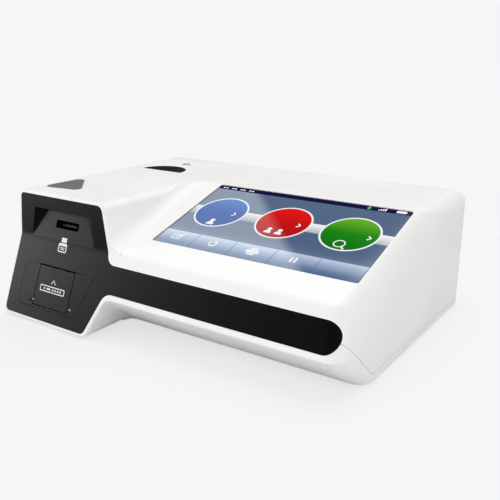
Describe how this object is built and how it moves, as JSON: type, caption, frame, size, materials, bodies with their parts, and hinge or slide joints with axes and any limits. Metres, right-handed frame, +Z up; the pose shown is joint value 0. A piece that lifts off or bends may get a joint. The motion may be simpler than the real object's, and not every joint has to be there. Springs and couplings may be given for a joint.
{
  "type": "rapid test reader",
  "caption": "Desk-top rapid test reader: tilted touch screen, raised side head with a cartridge tray behind a flap, chip slot and built-in paper-strip printer.",
  "frame": {"origin": "on the table under the middle of the case", "axes": "+X to the right seen from the front, +Y to the rear, +Z up"},
  "size_m": [0.276, 0.2201, 0.0915],
  "materials": {
    "casing_white": "satin moulded white plastic, very fine grain",
    "cover_black": "smooth black moulded plastic",
    "inner_black": "plain black moulded plastic",
    "pin_steel": "turned steel",
    "tray_grey": "grey low-friction plastic",
    "gear_white": "natural gear plastic",
    "motor_steel": "plated sheet steel",
    "lens_glass": "polished lens",
    "brass_cap": "brass can of the light source",
    "board_green": "green circuit board",
    "screen_glass": "touch glass over a lit colour screen",
    "platen_rubber": "ground rubber roller",
    "paper": "thermal paper roll",
    "scoop_grey": "dark grey moulded plastic",
    "badge_grey": "plain grey plate with nothing on it",
    "foot_rubber": "soft black rubber"
  },
  "bodies": {
    "case": {"bottom_case": "casing_white", "top_case": "casing_white", "front_cover": "cover_black", "chip_socket": "inner_black", "port_panel": "cover_black", "door_hinge_pins": "pin_steel", "tray_chassis": "inner_black", "drive_motor": "motor_steel", "optics_housing": "inner_black", "optics_lens": "lens_glass", "light_source": "brass_cap", "photodetector": "board_green", "home_sensor": "inner_black", "display_glass": "screen_glass", "lcd_module": "motor_steel", "display_frame": "motor_steel", "main_board": "board_green", "lan_port": "motor_steel", "usb_ports": "motor_steel", "serial_port": "motor_steel", "dc_jack": "inner_black", "switch_body": "inner_black", "printer_frame": "inner_black", "print_head": "motor_steel", "lid_hinge_pins": "pin_steel", "finger_scoop": "scoop_grey", "badge_plate": "badge_grey", "rubber_feet": "foot_rubber", "case_screws": "pin_steel", "speaker": "inner_black"},
    "tray": {"cartridge_tray": "tray_grey"},
    "door": {"cartridge_door": "cover_black"},
    "pinion": {"drive_pinion": "gear_white"},
    "lid": {"printer_lid": "casing_white"},
    "roll": {"paper_roll": "paper"},
    "platen": {"platen_roller": "platen_rubber"},
    "rocker": {"power_rocker": "inner_black"}
  },
  "joints": [
    {"name": "tray_slide", "type": "slide", "parent": "case", "child": "tray", "axis": [0, -1, 0], "range_m": [0, 0.077]},
    {"name": "door_swing", "type": "hinge", "parent": "case", "child": "door", "pos_m": [0, -0.103, 0.01518], "axis": [1, 0, 0], "range_deg": [0, 110.5]},
    {"name": "pinion_spin", "type": "hinge", "parent": "case", "child": "pinion", "pos_m": [-0.0721, -0.039, 0.03], "axis": [0, 0, 1], "range_deg": [0, 690]},
    {"name": "lid_hinge", "type": "hinge", "parent": "case", "child": "lid", "pos_m": [-0.1015, 0.0858, 0.0888], "axis": [-1, 0, 0], "range_deg": [0, 80]},
    {"name": "roll_spin", "type": "hinge", "parent": "case", "child": "roll", "pos_m": [-0.1015, 0.072, 0.063], "axis": [1, 0, 0], "continuous": true},
    {"name": "platen_spin", "type": "hinge", "parent": "case", "child": "platen", "pos_m": [-0.1015, 0.042, 0.0745], "axis": [1, 0, 0], "continuous": true},
    {"name": "power_rock", "type": "hinge", "parent": "case", "child": "rocker", "pos_m": [0.109, 0.1059, 0.026], "axis": [0, 0, 1], "range_deg": [0, 18]}
  ],
  "couplings": [
    {"joint": "door_swing", "follows": "tray_slide", "rad_per_m": 24.933},
    {"joint": "pinion_spin", "follows": "tray_slide", "rad_per_m": 156.25}
  ]
}
